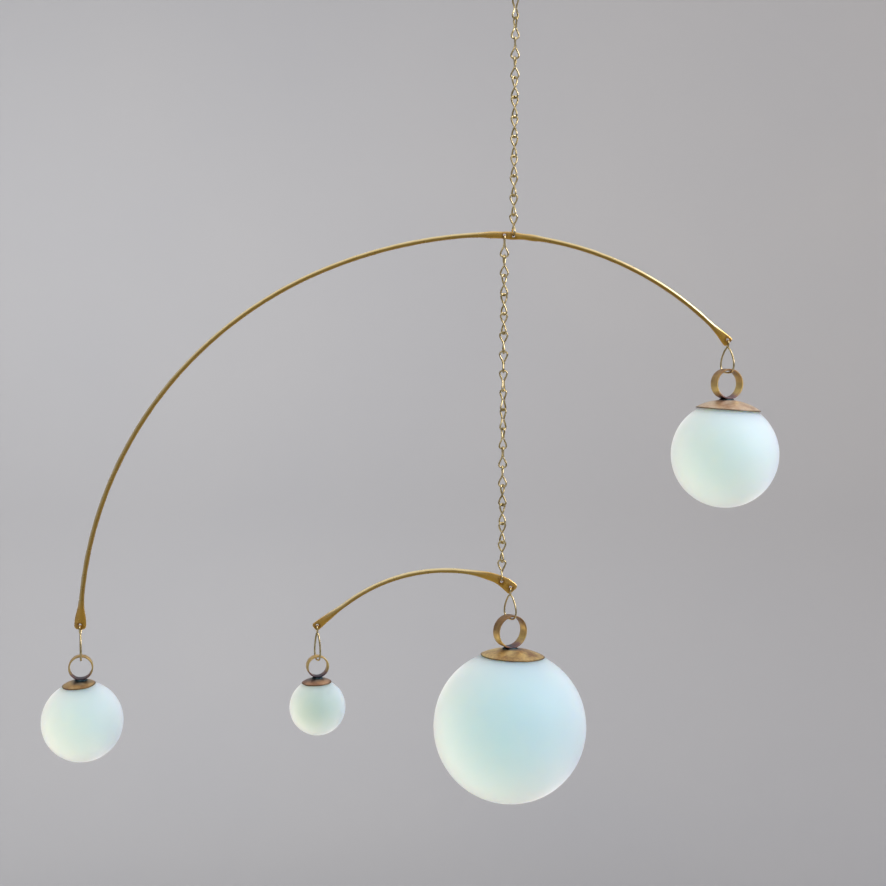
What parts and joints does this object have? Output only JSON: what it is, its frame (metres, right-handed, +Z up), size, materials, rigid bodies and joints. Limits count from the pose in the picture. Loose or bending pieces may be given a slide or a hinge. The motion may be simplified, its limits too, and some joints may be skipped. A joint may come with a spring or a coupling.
{
  "type": "hanging mobile sculpture",
  "caption": "Hanging mobile: hammered, arched brass arms on jack chain, with frosted glass balls hung below on wire loops, soldered band rings and domed caps.",
  "frame": {"origin": "the point inside the top ring, at its top, where the ceiling hook bears", "axes": "+Z up; +X to the viewer's right in the picture, from the left ball to the right ball; the arms lie in the plane Y = 0 and the picture looks along +Y"},
  "size_m": [0.4914, 0.1025, 0.5577],
  "materials": {
    "arm_brass": "polished, lightly hammered",
    "wire_brass": "bright drawn wire",
    "aged_brass": "satin, heat-tinted and aged",
    "frosted_glass": "frosted, opalescent"
  },
  "bodies": {
    "root": {"top_ring": "arm_brass", "upper_chain_link_01": "wire_brass", "upper_chain_link_02": "wire_brass", "upper_chain_link_03": "wire_brass", "upper_chain_link_04": "wire_brass", "upper_chain_link_05": "wire_brass", "upper_chain_link_06": "wire_brass", "upper_chain_link_07": "wire_brass", "upper_chain_link_08": "wire_brass", "upper_chain_link_09": "wire_brass", "upper_chain_link_10": "wire_brass", "upper_chain_link_11": "wire_brass", "upper_chain_link_12": "wire_brass", "upper_chain_link_13": "wire_brass", "upper_arm": "arm_brass", "lower_chain_link_01": "wire_brass", "lower_chain_link_02": "wire_brass", "lower_chain_link_03": "wire_brass", "lower_chain_link_04": "wire_brass", "lower_chain_link_05": "wire_brass", "lower_chain_link_06": "wire_brass", "lower_chain_link_07": "wire_brass", "lower_chain_link_08": "wire_brass", "lower_chain_link_09": "wire_brass", "lower_chain_link_10": "wire_brass", "lower_chain_link_11": "wire_brass", "lower_chain_link_12": "wire_brass", "lower_chain_link_13": "wire_brass", "lower_chain_link_14": "wire_brass", "lower_chain_link_15": "wire_brass", "lower_chain_link_16": "wire_brass", "lower_chain_link_17": "wire_brass", "lower_chain_link_18": "wire_brass", "lower_arm": "arm_brass", "left_ball_hanging_wire": "wire_brass", "left_ball_band_ring": "aged_brass", "left_ball_cap": "aged_brass", "left_ball": "frosted_glass", "right_ball_hanging_wire": "wire_brass", "right_ball_band_ring": "aged_brass", "right_ball_cap": "aged_brass", "right_ball": "frosted_glass", "small_ball_hanging_wire": "wire_brass", "small_ball_band_ring": "aged_brass", "small_ball_cap": "aged_brass", "small_ball": "frosted_glass", "big_ball_hanging_wire": "wire_brass", "big_ball_band_ring": "aged_brass", "big_ball_cap": "aged_brass", "big_ball": "frosted_glass"}
  },
  "joints": []
}
